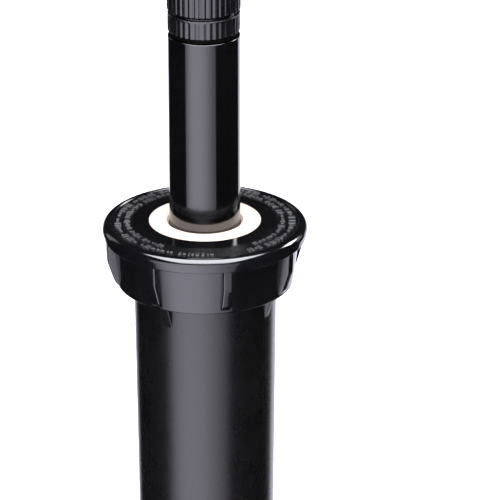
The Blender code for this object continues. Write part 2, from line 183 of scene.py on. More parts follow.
def stretch(start, end, step):
    """Points along a straight part of an outline, close enough together to carry a relief."""
    count = max(1, round(math.dist(start, end) / step))
    return [(start[0] + (end[0] - start[0]) * i / count,
             start[1] + (end[1] - start[1]) * i / count, 0.0) for i in range(count + 1)]


def quarter(centre, radius, count):
    """Quarter of a circle, from straight up to straight out."""
    angles = [math.pi / 2.0 * (1.0 - i / count) for i in range(count + 1)]
    return [(centre[0] + radius * math.cos(angle), centre[1] + radius * math.sin(angle), 0.0)
            for angle in angles]


def clamp(value, low=0.0, high=1.0):
    return min(max(value, low), high)


def ramp(value, start, end):
    """0 before start, 1 after end, straight in between."""
    return clamp((value - start) / (end - start))


def thread_ridge(azimuth, height, pitch, phase):
    """Height of a right-handed thread's ridge, from 0 at its root to 1 at its crest."""
    place = (height / pitch - azimuth / math.tau + phase) % 1.0
    return ramp(1.0 - abs(place - 0.5) * 2.0, 0.2, 0.85)


# ---------------------------------------------------------------- meshes

def new_object(name, data):
    made = bpy.data.objects.new(name, data)
    bpy.context.scene.collection.objects.link(made)
    return made


def mesh_of(name, shape):
    """Mesh made from a bmesh, which is freed."""
    mesh = bpy.data.meshes.new(name)
    shape.to_mesh(mesh)
    shape.free()
    return mesh


def lathe(name, outline, steps=ROUND_STEPS, relief=None):
    """Turn a closed outline, listed down its outer side; relief is each point's shift outwards."""
    points = []
    faces = []
    rows = len(outline)
    for i in range(steps):
        azimuth = math.tau * i / steps
        for plain, height in outline:
            radius = plain + (relief(azimuth, plain, height) if relief else 0.0)
            points.append((radius * math.sin(azimuth) * MM, -radius * math.cos(azimuth) * MM,
                           height * MM))
        j = (i + 1) % steps
        for k in range(rows):
            m = (k + 1) % rows
            faces.append((i * rows + k, i * rows + m, j * rows + m, j * rows + k))
    mesh = bpy.data.meshes.new(name)
    mesh.from_pydata(points, [], faces)
    shape = bmesh.new()
    shape.from_mesh(mesh)
    bmesh.ops.remove_doubles(shape, verts=shape.verts, dist=MERGE)
    bmesh.ops.dissolve_degenerate(shape, edges=shape.edges, dist=DEGENERATE)
    shape.to_mesh(mesh)
    shape.free()
    return new_object(name, mesh)


def slab(outline, thickness, edge):
    """Mesh of an (x, z) outline, thickened along y about y = 0, with softened edges."""
    shape = bmesh.new()
    front = [shape.verts.new((x * MM, -thickness / 2.0 * MM, z * MM)) for x, z in outline]
    face = shape.faces.new(front)
    grown = bmesh.ops.extrude_face_region(shape, geom=[face])
    moved = [item for item in grown["geom"] if isinstance(item, bmesh.types.BMVert)]
    bmesh.ops.translate(shape, verts=moved, vec=(0.0, thickness * MM, 0.0))
    bmesh.ops.recalc_face_normals(shape, faces=shape.faces)
    bmesh.ops.bevel(shape, geom=shape.edges[:], offset=edge * MM, segments=3, profile=0.5,
                    affect='EDGES', clamp_overlap=True)
    return mesh_of("slab", shape)


def drill(middle):
    """Mesh of an upright round cutter on the passages' circle, about the height given."""
    shape = bmesh.new()
    bmesh.ops.create_cone(shape, cap_ends=True, segments=24, radius1=1.0 * MM, radius2=1.0 * MM,
                          depth=4.0 * MM)
    bmesh.ops.translate(shape, verts=shape.verts, vec=(PASSAGE_CIRCLE * MM, 0.0, middle * MM))
    return mesh_of("drill", shape)


def narrow(mesh, inner, outer):
    """Scale a slab's width along its radius: each end is (radius, factor)."""
    for vertex in mesh.vertices:
        share = ramp(vertex.co.x / MM, inner[0], outer[0])
        vertex.co.y *= inner[1] + (outer[1] - inner[1]) * share


def around(name, mesh, azimuths):
    """One object with a copy of the mesh, drawn at +X, at each azimuth."""
    ring = bmesh.new()
    for azimuth in azimuths:
        before = len(ring.verts)
        ring.from_mesh(mesh)
        ring.verts.ensure_lookup_table()
        turn = Matrix.Rotation(math.radians(azimuth - 90.0), 3, 'Z')
        bmesh.ops.rotate(ring, verts=ring.verts[before:], matrix=turn)
    return new_object(name, mesh_of(name, ring))


def join_solid(piece, tool, operation='UNION'):
    """Apply an exact Boolean with the tool and remove the tool."""
    change = piece.modifiers.new("join", 'BOOLEAN')
    change.operation = operation
    change.object = tool
    change.solver = 'EXACT'
    bpy.context.view_layer.update()
    shown = piece.evaluated_get(bpy.context.evaluated_depsgraph_get())
    mesh = bpy.data.meshes.new_from_object(shown)
    piece.modifiers.clear()
    piece.data = mesh
    bpy.data.objects.remove(tool, do_unlink=True)


def smooth(piece, angle=32.0):
    """Smooth shading with sharp creases kept, and flat faces kept flat."""
    piece.data.shade_smooth()
    piece.data.set_sharp_from_angle(angle=math.radians(angle))
    even = piece.modifiers.new("even_normals", 'WEIGHTED_NORMAL')
    even.keep_sharp = True
    return piece


def dress(piece, surface):
    """Give a piece one material."""
    piece.data.materials.clear()
    piece.data.materials.append(surface)
    return piece


def stand_for(piece, node, body, surface):
    """Give a fine piece its material and let it stand for its plain CAD node."""
    dress(smooth(piece), surface)
    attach(piece, body)
    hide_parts(node)


# ---------------------------------------------------------------- materials

class Surface:
    """A Principled material, with short calls for the procedural nodes around it."""

    def __init__(self, name, specular=0.5, metallic=0.0):
        self.material = bpy.data.materials.new(name)
        self.material.use_nodes = True
        self.tree = self.material.node_tree
        self.shader = self.tree.nodes["Principled BSDF"]
        self.shader.inputs["Specular IOR Level"].default_value = specular
        self.shader.inputs["Metallic"].default_value = metallic
        self.coordinates = self.tree.nodes.new('ShaderNodeTexCoord').outputs["Object"]

    def link(self, source, target):
        self.tree.links.new(source, target)

    def mapped(self, scale):
        """Object coordinates, scaled along each axis."""
        node = self.tree.nodes.new('ShaderNodeMapping')
        node.inputs["Scale"].default_value = scale
        self.link(self.coordinates, node.inputs["Vector"])
        return node.outputs["Vector"]

    def noise(self, scale, detail=2.0, roughness=0.5, vector=None):
        node = self.tree.nodes.new('ShaderNodeTexNoise')
        node.inputs["Scale"].default_value = scale
        node.inputs["Detail"].default_value = detail
        node.inputs["Roughness"].default_value = roughness
        self.link(vector or self.coordinates, node.inputs["Vector"])
        return node.outputs["Fac"]

    def remap(self, source, from_low, from_high, to_low, to_high):
        node = self.tree.nodes.new('ShaderNodeMapRange')
        node.inputs["From Min"].default_value = from_low
        node.inputs["From Max"].default_value = from_high
        node.inputs["To Min"].default_value = to_low
        node.inputs["To Max"].default_value = to_high
        self.link(source, node.inputs["Value"])
        return node.outputs["Result"]

    def math(self, operation, first, second):
        node = self.tree.nodes.new('ShaderNodeMath')
        node.operation = operation
        for socket, value in zip(node.inputs, (first, second)):
            if isinstance(value, (int, float)):
                socket.default_value = value
            else:
                self.link(value, socket)
        return node.outputs["Value"]

    def radius(self):
        """Distance from the upright axis, in metres."""
        parts = self.tree.nodes.new('ShaderNodeSeparateXYZ')
        self.link(self.coordinates, parts.inputs["Vector"])
        x_squared = self.math('MULTIPLY', parts.outputs["X"], parts.outputs["X"])
        y_squared = self.math('MULTIPLY', parts.outputs["Y"], parts.outputs["Y"])
        return self.math('SQRT', self.math('ADD', x_squared, y_squared), 0.0)

    def height(self):
        parts = self.tree.nodes.new('ShaderNodeSeparateXYZ')
        self.link(self.coordinates, parts.inputs["Vector"])
        return parts.outputs["Z"]

    def colour(self, factor, first, second):
        node = self.tree.nodes.new('ShaderNodeMix')
        node.data_type = 'RGBA'
        node.inputs[6].default_value = (*first, 1.0)
        node.inputs[7].default_value = (*second, 1.0)
        self.link(factor, node.inputs["Factor"])
        self.link(node.outputs[2], self.shader.inputs["Base Color"])

    def roughness(self, source):
        self.link(source, self.shader.inputs["Roughness"])

    def bump(self, source, strength, depth, onto=None):
        node = self.tree.nodes.new('ShaderNodeBump')
        node.inputs["Strength"].default_value = strength
        node.inputs["Distance"].default_value = depth
        self.link(source, node.inputs["Height"])
        if onto:
            self.link(onto, node.inputs["Normal"])
        self.link(node.outputs["Normal"], self.shader.inputs["Normal"])
        return node.outputs["Normal"]


def moulded(name, dark, light, gloss, spread, grain, specular=1.0):
    """Moulded plastic: faint clouds in the colour, uneven gloss, draw marks and a fine grain."""
    surface = Surface(name, specular)
    surface.colour(surface.remap(surface.noise(70.0, 4.0), 0.35, 0.65, 0.0, 1.0), dark, light)
    patches = surface.noise(140.0, 5.0, 0.6)
    drawn = surface.noise(900.0, 2.0, 0.5, surface.mapped((1.0, 1.0, 0.02)))
    mixed = surface.math('ADD', patches, surface.math('MULTIPLY', drawn, 0.5))
    surface.roughness(surface.remap(mixed, 0.5, 1.0, gloss - spread, gloss + spread))
    fine = surface.bump(surface.noise(2600.0, 3.0, 0.6), grain, 0.00003)
    surface.bump(drawn, grain * 0.5, 0.00002, fine)
    return surface.material


def cap_plastic():
    """The cap's plastic: polished inner ring and rim, finely textured band between them."""
    surface = Surface("cap_plastic", 1.0)
    surface.colour(surface.remap(surface.noise(90.0, 4.0), 0.35, 0.65, 0.0, 1.0),
                   (0.0014, 0.0014, 0.0017), (0.0026, 0.0026, 0.0030))
    radius = surface.radius()
    inside = surface.remap(radius, (BAND_INNER - 0.1) * MM, (BAND_INNER + 0.3) * MM, 0.0, 1.0)
    outside = surface.remap(radius, (BAND_OUTER - 0.2) * MM, (BAND_OUTER + 0.1) * MM, 1.0, 0.0)
    above = surface.remap(surface.height(), (BAND_LOW - 0.5) * MM, (BAND_LOW - 0.3) * MM,
                          0.0, 1.0)
    band = surface.math('MULTIPLY', surface.math('MULTIPLY', inside, outside), above)
    uneven = surface.remap(surface.noise(160.0, 5.0, 0.6), 0.3, 0.7, -0.03, 0.03)
    surface.roughness(surface.math('ADD', surface.remap(band, 0.0, 1.0, 0.11, 0.25), uneven))
    speckle = surface.math('MULTIPLY', surface.noise(1500.0, 4.0, 0.7), band)
    fine = surface.bump(surface.noise(2400.0, 3.0, 0.6), 0.02, 0.00003)
    surface.bump(speckle, 0.45, 0.00020, fine)
    return surface.material


def seal_rubber():
    """Cream rubber, a little darker and duller in patches."""
    surface = Surface("seal_rubber", 0.4)
    surface.colour(surface.remap(surface.noise(240.0, 5.0, 0.6), 0.3, 0.7, 0.0, 1.0),
                   (0.66, 0.53, 0.45), (0.74, 0.61, 0.53))
    surface.roughness(surface.remap(surface.noise(400.0, 3.0), 0.3, 0.7, 0.42, 0.60))
    surface.bump(surface.noise(1800.0, 3.0), 0.15, 0.00004)
    return surface.material


def soft_rubber(name, dark, light, specular):
    """Dull rubber, a little uneven in shade."""
    surface = Surface(name, specular)
    surface.colour(surface.remap(surface.noise(300.0, 4.0), 0.3, 0.7, 0.0, 1.0), dark, light)
    surface.roughness(surface.remap(surface.noise(500.0, 3.0), 0.3, 0.7, 0.60, 0.80))
    surface.bump(surface.noise(2000.0, 3.0), 0.2, 0.00004)
    return surface.material


def steel(name, wrap):
    """Stainless steel with fine drawn lines: wrap is the scale along each axis of those lines."""
    surface = Surface(name, 0.5, 1.0)
    lines = surface.noise(1800.0, 3.0, 0.6, surface.mapped(wrap))
    surface.colour(surface.remap(surface.noise(300.0, 3.0), 0.3, 0.7, 0.0, 1.0),
                   (0.56, 0.56, 0.54), (0.68, 0.68, 0.66))
    surface.roughness(surface.remap(lines, 0.3, 0.7, 0.20, 0.36))
    surface.bump(lines, 0.12, 0.00002)
    return surface.material


def gauze():
    """Fine woven mesh: bright wires and dark openings."""
    surface = Surface("woven_gauze", 0.5, 0.7)
    upright = surface.noise(3200.0, 0.0, 0.5, surface.mapped((1.0, 1.0, 0.03)))
    level = surface.noise(3200.0, 0.0, 0.5, surface.mapped((0.03, 0.03, 1.0)))
    weave = surface.math('MAXIMUM', upright, level)
    surface.colour(surface.remap(weave, 0.45, 0.60, 0.0, 1.0),
                   (0.05, 0.05, 0.05), (0.60, 0.60, 0.58))
    surface.roughness(surface.remap(weave, 0.4, 0.7, 0.55, 0.30))
    surface.bump(weave, 0.4, 0.00005)
    return surface.material


# ---------------------------------------------------------------- fixed pieces

def closing_relief(azimuth, height, phase):
    """The closing thread's ridge, fading in and out at its ends."""
    ends = ramp(height, 108.9, 110.2) * ramp(height, 117.8, 116.8)
    return CLOSING_DEPTH * ends * thread_ridge(azimuth, height, CLOSING_PITCH, phase)


def case_relief(azimuth, radius, height):
    """Closing thread outside, pipe thread in the neck and guide ribs in the bore."""
    if radius > 21.0 and height > 108.0:
        return closing_relief(azimuth, height, 0.0)
    if radius < 11.0 and height < 13.0:
        ends = ramp(height, 0.3, 1.6) * ramp(height, 12.6, 11.4)
        return -INLET_DEPTH * ends * thread_ridge(azimuth, height, INLET_PITCH, 0.0)
    if 17.0 < radius < 18.0 and 19.5 < height < 112.3:
        for guide in GUIDE_AZIMUTHS:
            apart = math.degrees(azimuth) - guide
            if abs((apart + 180.0) % 360.0 - 180.0) < 1.2:
                return GUIDE_CREST - radius
    return 0.0


def case_shell(surface):
    """The outer case, with its lugs, its drawn taper and its threads."""
    corners = [(20.7, BODY_TOP, 0.2), (CLOSING_ROOT, BODY_TOP - 0.6, 0.3)]
    corners += stretch((CLOSING_ROOT, 117.8), (CLOSING_ROOT, 109.0), 0.35)
    corners += [(20.6, 108.3, 0.3), (20.6, 105.5, 0.3), (BODY_RADIUS_HIGH, 104.8, 0.3)]
    corners += [(BODY_RADIUS_LOW, 20.0, 0.0), (BODY_RADIUS_LOW, BODY_SHOULDER, 3.4)]
    corners += [(NECK_RADIUS, BODY_SHOULDER, 0.6), (NECK_RADIUS, 0.0, 0.7), (10.9, 0.0, 0.3)]
    corners += stretch((10.55, 0.5), (10.16, 12.8), 0.225)
    corners += [(9.3, 13.4, 0.2), (9.3, 15.2, 0.3), (7.5, 15.2, 0.2), (7.5, BODY_FLOOR, 0.3)]
    corners += [(10.2, BODY_FLOOR, 0.1), (10.4, BODY_FLOOR + 0.4, 0.1)]
    corners += [(11.2, BODY_FLOOR + 0.4, 0.1), (11.4, BODY_FLOOR, 0.1)]
    corners += [(17.3, BODY_FLOOR, 1.8), (17.3, 19.4, 0.0), (17.31, 19.6, 0.0)]
    corners += [(17.88, 112.2, 0.0), (17.88, 112.4, 0.0)]
    corners += [(17.9, BODY_TOP - 0.5, 0.1), (18.3, BODY_TOP, 0.1)]
    shell = lathe("case_shell", rounded(corners), ROUND_STEPS, case_relief)
    lug = [(19.0, 99.4), (19.8, 99.4), (21.9, 105.9), (21.9, 108.0), (20.8, 108.9),
           (19.0, 108.9)]
    lug_mesh = slab(lug, 2.6, 0.25)
    narrow(lug_mesh, (19.0, 1.0), (21.9, 0.7))
    join_solid(shell, around("case_lugs", lug_mesh, LUG_AZIMUTHS))
    stand_for(shell, "body_case", "case", surface)


def cap_relief(azimuth, radius, height):
    """The thread inside the skirt."""
    if abs(radius - SKIRT_BORE) < 0.5 and 107.5 < height < 118.5:
        return -closing_relief(azimuth, height, 0.5)
    return 0.0


def cap_shell(surface):
    """The cap: rounded rim, sunk band, tapered skirt and eight grip fins."""
    corners = [(BAND_OUTER + 0.2, CAP_TOP, 0.15)]
    corners += quarter((CAP_RADIUS - RIM_ROUND, CAP_TOP - RIM_ROUND), RIM_ROUND, 8)
    corners += [(CAP_RADIUS - 0.3, FLANGE_UNDERSIDE, 0.3)]
    corners += [(26.2, FLANGE_UNDERSIDE, 0.6), (SKIRT_RADIUS, SKIRT_BOTTOM, 0.4)]
    corners += [(SKIRT_BORE, SKIRT_BOTTOM, 0.4)]
    corners += stretch((SKIRT_BORE, 107.6), (SKIRT_BORE, 118.2), 0.35)
    corners += [(22.3, 118.9, 0.2), (21.4, FLANGE_UNDERSIDE, 0.3)]
    corners += [(CAP_HOLE, FLANGE_UNDERSIDE, 0.2), (CAP_HOLE, SEAL_TOP - 0.15, 0.1)]
    corners += [(BAND_INNER, BAND_HIGH, 0.5), (BAND_OUTER, BAND_LOW, 0.3)]
    shell = lathe("cap_shell", rounded(corners, 5), ROUND_STEPS, cap_relief)
    top = FLANGE_UNDERSIDE + 0.6
    fin = [(23.6, 107.6), (24.9, 107.6), (25.9, 108.8), (27.8, 114.7), (28.0, top),
           (23.6, top)]
    fin_mesh = slab(fin, 3.2, 0.55)
    narrow(fin_mesh, (25.0, 1.0), (28.0, 0.82))
    join_solid(shell, around("cap_fins", fin_mesh, FIN_AZIMUTHS))
    stand_for(shell, "screw_cap", "case", surface)


def band_height(radius):
    """Level of the band, which falls a little towards the rim."""
    share = ramp(radius, BAND_INNER, BAND_OUTER)
    return BAND_HIGH * (1.0 - share) + BAND_LOW * share


def mark_rows():
    """Places of the raised marks: (azimuth, row radius, width, length) of each, in two rows."""
    chance = random.Random(7)
    places = []
    rows = ((21.6, ((40.0, 140.0), (205.0, 325.0))),
            (24.2, ((30.0, 150.0), (196.0, 348.0))))
    for row_radius, blocks in rows:
        for start, end in blocks:
            azimuth = start
            while azimuth < end:
                for _ in range(chance.randint(4, 8)):
                    width = chance.uniform(0.4, 1.3)
                    places.append((azimuth, row_radius, width, chance.choice((0.8, 1.4, 1.9))))
                    azimuth += math.degrees((width + MARK_GAP) / row_radius)
                azimuth += math.degrees(GROUP_GAP / row_radius)
    return places


def cap_marks(surface):
    """Two rows of plain raised bars on the band: generic moulded marks, not lettering."""
    ring = bmesh.new()
    for azimuth, row_radius, width, length in mark_rows():
        before = len(ring.verts)
        made = bmesh.ops.create_cube(ring, size=1.0)
        size = Vector((length, width, 0.8)) * MM
        bmesh.ops.scale(ring, verts=made["verts"], vec=size)
        edges = {edge for vertex in made["verts"] for edge in vertex.link_edges}
        bmesh.ops.bevel(ring, geom=list(edges), offset=0.14 * MM, segments=3, profile=0.5,
                        affect='EDGES')
        ring.verts.ensure_lookup_table()
        fresh = ring.verts[before:]
        level = band_height(row_radius) * MM
        bmesh.ops.translate(ring, verts=fresh, vec=(row_radius * MM, 0.0, level))
        turn = Matrix.Rotation(math.radians(azimuth - 90.0), 3, 'Z')
        bmesh.ops.rotate(ring, verts=fresh, matrix=turn)
    marks = dress(smooth(new_object("cap_marks", mesh_of("cap_marks", ring))), surface)
    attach(marks, "case")


def cap_arc(surface):
    """A low curved rib beside the sunk band, over part of a turn."""
    level = band_height(BAND_INNER)
    section = [(18.9, level - 0.4), (18.95, level + 0.15), (19.3, level + 0.3),
               (19.65, level + 0.15), (19.7, level - 0.4)]
    start, end = 62.0, 152.0
    count = 60
    shape = bmesh.new()
    rows = []
    for i in range(count + 1):
        azimuth = math.radians(start + (end - start) * i / count)
        across, back = math.sin(azimuth) * MM, -math.cos(azimuth) * MM
        rows.append([shape.verts.new((r * across, r * back, z * MM)) for r, z in section])
    for near, far in zip(rows, rows[1:]):
        for k in range(len(section)):
            m = (k + 1) % len(section)
            shape.faces.new((near[k], far[k], far[m], near[m]))
    shape.faces.new(rows[0])
    shape.faces.new(rows[-1][::-1])
    bmesh.ops.recalc_face_normals(shape, faces=shape.faces)
    rib = dress(smooth(new_object("cap_arc", mesh_of("cap_arc", shape)), 50.0), surface)
    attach(rib, "case")


def seal_ring(surface):
    """Soft seal: crowned ring, a lip at the stem and a flange held under the cap."""
    edge = CAP_HOLE - 0.1
    corners = [(edge, SEAL_TOP, 0.15), (edge, 119.9, 0.2), (20.6, 119.9, 0.2)]
    corners += [(20.6, 119.2, 0.2), (11.2, 119.2, 0.4), (10.95, 115.4, 0.2)]
    corners += [(10.3, 115.2, 0.2), (SEAL_BORE, 116.2, 0.3), (SEAL_BORE, SEAL_TOP - 0.6, 0.1)]
    corners += [(10.38, SEAL_TOP - 0.45, 0.15), (10.6, SEAL_TOP - 0.05, 0.15)]
    corners += [(12.5, SEAL_TOP + 0.05, 1.5)]
    ring = lathe("seal_ring", rounded(corners))
    stand_for(ring, "wiper_seal", "case", surface)


def spring_coil(surface):
    """Compression spring of round wire, as a fixed coil between the case and the carriage."""
    low, high = (corner.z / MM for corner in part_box("retraction_spring"))
    wire = 0.55
    turns = 10
    per_turn = 40
    count = turns * per_turn + 1
    curve = bpy.data.curves.new("spring_coil", 'CURVE')
    curve.dimensions = '3D'
    curve.bevel_depth = wire * MM
    curve.bevel_resolution = 2
    curve.use_fill_caps = True
    spline = curve.splines.new('POLY')
    spline.points.add(count - 1)
    for i, point in enumerate(spline.points):
        angle = math.tau * i / per_turn
        height = low + wire + (high - low - 2.0 * wire) * i / (count - 1)
        point.co = (SPRING_RADIUS * math.cos(angle) * MM, SPRING_RADIUS * math.sin(angle) * MM,
                    height * MM, 1.0)
    carrier = new_object("spring_route", curve)
    bpy.context.view_layer.update()
    shown = carrier.evaluated_get(bpy.context.evaluated_depsgraph_get())
    mesh = bpy.data.meshes.new_from_object(shown)
    bpy.data.objects.remove(carrier, do_unlink=True)
    shape = bmesh.new()
    shape.from_mesh(mesh)
    bmesh.ops.remove_doubles(shape, verts=shape.verts, dist=MERGE)
    bmesh.ops.recalc_face_normals(shape, faces=shape.faces)
    shape.to_mesh(mesh)
    shape.free()
    coil = dress(new_object("spring_coil", mesh), surface)
    coil.data.shade_smooth()
    coil.data.set_sharp_from_angle(angle=math.radians(50.0))
    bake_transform(coil)
    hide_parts("retraction_spring")


# ---------------------------------------------------------------- riser and nozzle

def stem_relief(azimuth, radius, height):
    """Thread on the stem's neck, under the nozzle."""
    if radius < STEM_NECK + 0.1 and height > STEM_TOP + 0.4:
        ends = ramp(height, 179.8, 180.4) * ramp(height, 183.0, 182.6)
        return -0.4 * ends * (1.0 - thread_ridge(azimuth, height, 1.0, 0.0))
    return 0.0


def ratchet_level(azimuth):
    """Height above the stem's flange of its ratchet teeth."""
    place = (azimuth * RATCHET_TEETH / math.tau) % 1.0
    return TOOTH_HEIGHT * ramp(abs(place - 0.5) * 2.0, 0.25, 0.75)


def stem_tube(surface):
    """The stem: toothed flange below, polished tube, threaded neck above."""
    crest = STEM_FLANGE_TOP + TOOTH_HEIGHT
    foot = STEM_FLANGE_TOP - 2.0
    corners = [(STEM_NECK, 183.2, 0.3)]
    corners += stretch((STEM_NECK, 182.9), (STEM_NECK, 179.7), 0.12)
    corners += [(STEM_BORE, STEM_TOP, 0.1), (STEM_RADIUS, STEM_TOP, 0.35)]
    corners += [(STEM_RADIUS, STEM_FLANGE_TOP, 0.2), (12.0, STEM_FLANGE_TOP, 0.0)]
    corners += [(12.1, crest, 0.0), (15.1, crest, 0.0), (15.2, STEM_FLANGE_TOP, 0.0)]
    corners += [(15.7, STEM_FLANGE_TOP, 0.2), (15.7, foot, 0.2), (STEM_BORE, foot, 0.2)]
    corners += [(STEM_BORE, 177.4, 0.4), (7.0, 178.6, 0.3), (7.0, 183.2, 0.2)]
    tube = lathe("stem_tube", rounded(corners, 6), 216, stem_relief)
    for vertex in tube.data.vertices:
        if abs(vertex.co.z - crest * MM) < 0.01 * MM:
            azimuth = math.atan2(vertex.co.x, -vertex.co.y) % math.tau
            vertex.co.z = (STEM_FLANGE_TOP + ratchet_level(azimuth)) * MM
    stand_for(tube, "riser_stem", "riser", surface)


def rib_place(azimuth):
    """Distance from the nearest rib's centre, as a share of the pitch, from 0 to 0.5."""
    place = (azimuth * RIBS / math.tau) % 1.0
    return min(place, 1.0 - place)


def base_relief(azimuth, radius, height):
    """Pointed grip ribs, which fade before the ring's upper edge."""
    if radius < BASE_RADIUS - 0.3:
        return 0.0
    end = ramp(height, BASE_LOW + 4.75, BASE_LOW + 4.45)
    return -0.17 * end * ramp(rib_place(azimuth), 0.08, 0.42)


def nozzle_base_ring(surface):
    """Lower ring of the nozzle, with its deck and water passages."""
    high = BASE_LOW + 5.1
    corners = [(8.1, high + 2.3, 0.15), (8.1, high, 0.1), (BASE_RADIUS, high, 0.34)]
    corners += stretch((BASE_RADIUS, high - 0.3), (BASE_RADIUS, BASE_LOW + 0.3), 0.15)
    corners += [(BASE_RADIUS, BASE_LOW, 0.2), (8.85, BASE_LOW, 0.2), (8.85, high + 0.5, 0.3)]
    corners += [(HUB_BORE, high + 0.5, 0.15), (HUB_BORE, high + 2.3, 0.15)]
    ring = lathe("nozzle_base_ring", rounded(corners), FINE_STEPS, base_relief)
    passages = around("passages", drill(high + 1.4), [45.0 * i for i in range(8)])
    join_solid(ring, passages, 'DIFFERENCE')
    stand_for(ring, "nozzle_base", "riser", surface)


def collar_relief(azimuth, radius, height):
    """Wide flat lands between narrow upright grooves, open at the top."""
    if radius < COLLAR_RADIUS - 0.3:
        return 0.0
    return -0.20 * ramp(rib_place(azimuth), 0.24, 0.42)


def arc_collar_ring(surface):
    """Grip collar, with the arc slot's ports in its deck."""
    deck = COLLAR_LOW + 1.5
    corners = [(COLLAR_RADIUS, COLLAR_HIGH, 0.25)]
    corners += stretch((COLLAR_RADIUS, COLLAR_HIGH - 0.3), (COLLAR_RADIUS, COLLAR_LOW + 0.25),
                       0.15)
    corners += [(COLLAR_RADIUS, COLLAR_LOW, 0.2), (9.6, COLLAR_LOW, 0.1), (9.6, deck, 0.3)]
    corners += [(HUB_BORE, deck, 0.1), (HUB_BORE, deck + 1.6, 0.2), (8.3, deck + 1.6, 0.5)]
    corners += [(8.6, COLLAR_HIGH, 0.2)]
    ring = lathe("arc_collar_ring", rounded(corners), FINE_STEPS, collar_relief)
    ports = around("ports", drill(deck + 0.8), [22.5 + 45.0 * i for i in range(-2, 2)])
    join_solid(ring, ports, 'DIFFERENCE')
    stand_for(ring, "arc_collar", "collar", surface)


def deflector_relief(azimuth, radius, height):
    """Fine flutes under the deflector's rim, which break up the spray."""
    if radius < 5.5 or height > DEFLECTOR_TOP - 3.2:
        return 0.0
    return -0.25 * ramp(rib_place(azimuth), 0.15, 0.4)


def deflector_top(surface):
    """Fixed top of the nozzle, which throws the spray outwards under its rim."""
    foot = node_foot("nozzle_deflector")
    corners = [(DEFLECTOR_RADIUS, DEFLECTOR_TOP, 0.8)]
    corners += [(DEFLECTOR_RADIUS, DEFLECTOR_TOP - 3.4, 0.3), (8.8, DEFLECTOR_TOP - 3.9, 0.2)]
    corners += [(6.2, DEFLECTOR_TOP - 5.0, 0.6), (4.6, DEFLECTOR_TOP - 6.8, 0.6)]
    corners += [(4.5, foot, 0.2), (HUB_BORE, foot, 0.1), (HUB_BORE, 195.3, 0.2)]
    corners += [(2.0, 195.3, 0.1), (2.0, 196.9, 0.1), (3.1, 197.2, 0.1)]
    corners += [(3.1, DEFLECTOR_TOP - 0.4, 0.2), (3.6, DEFLECTOR_TOP, 0.2)]
    top = lathe("deflector_top", rounded(corners, 5), FINE_STEPS, deflector_relief)
    stand_for(top, "nozzle_deflector", "riser", surface)


def screw_relief(azimuth, radius, height):
    """Thread along the screw's shank."""
    if radius > 1.6 or not SCREW_FOOT + 0.6 < height < SCREW_TOP - 6.0:
        return 0.0
    return -0.22 * (1.0 - thread_ridge(azimuth, height, SCREW_PITCH, 0.0))


def radius_screw_fine(surface):
    """Stainless screw with a slotted, slightly domed head and a threaded shank."""
    corners = [(0.0, SCREW_TOP, 0.0), (1.6, SCREW_TOP - 0.05, 0.4)]
    corners += [(2.7, SCREW_TOP - 0.25, 0.3), (2.7, SCREW_TOP - 2.1, 0.15)]
    corners += [(1.5, SCREW_TOP - 2.4, 0.1)]
    corners += stretch((1.5, SCREW_TOP - 5.8), (1.5, SCREW_FOOT + 0.5), 0.14)
    corners += [(1.1, SCREW_FOOT, 0.1), (0.0, SCREW_FOOT, 0.0)]
    screw = lathe("radius_screw_fine", rounded(corners), 48, screw_relief)
    low, high = SCREW_TOP - 0.8, SCREW_TOP + 0.8
    slot = slab([(-4.0, low), (4.0, low), (4.0, high), (-4.0, high)], 0.7, 0.05)
    join_solid(screw, around("screw_slot", slot, [90.0]), 'DIFFERENCE')
    stand_for(screw, "radius_screw", "screw", surface)


# ---------------------------------------------------------------- studio

def fade(light, axis, near, full, fall, far):
    """Strength along a light's side: near at its start, 1 from full to fall, far at its end."""
    light.use_nodes = True
    tree = light.node_tree
    place = tree.nodes.new('ShaderNodeNewGeometry')
    parts = tree.nodes.new('ShaderNodeSeparateXYZ')
    tree.links.new(place.outputs["Parametric"], parts.inputs["Vector"])
    product = tree.nodes.new('ShaderNodeMath')
    product.operation = 'MULTIPLY'
    slopes = ((0.0, full, near, 1.0), (fall, 1.0, 1.0, far))
    for socket, (start, end, low, high) in zip(product.inputs, slopes):
        slope = tree.nodes.new('ShaderNodeMapRange')
        slope.interpolation_type = 'SMOOTHSTEP'
        slope.inputs["From Min"].default_value = start
        slope.inputs["From Max"].default_value = end
        slope.inputs["To Min"].default_value = low
        slope.inputs["To Max"].default_value = high
        tree.links.new(parts.outputs[axis], slope.inputs["Value"])
        tree.links.new(slope.outputs["Result"], socket)
    tree.links.new(product.outputs["Value"], tree.nodes["Emission"].inputs["Strength"])


def softbox(name, centre, target, width, height, radiance, colour=(1.0, 1.0, 1.0)):
    """Rectangular light whose face has the given radiance."""
    light = bpy.data.lights.new(name, 'AREA')
    light.shape = 'RECTANGLE'
    light.size = width
    light.size_y = height
    light.energy = radiance * width * height * math.pi
    light.color = colour
    lamp = new_object(name, light)
    lamp.location = centre
    lamp.rotation_euler = (Vector(target) - Vector(centre)).to_track_quat('-Z', 'Y').to_euler()
    return lamp


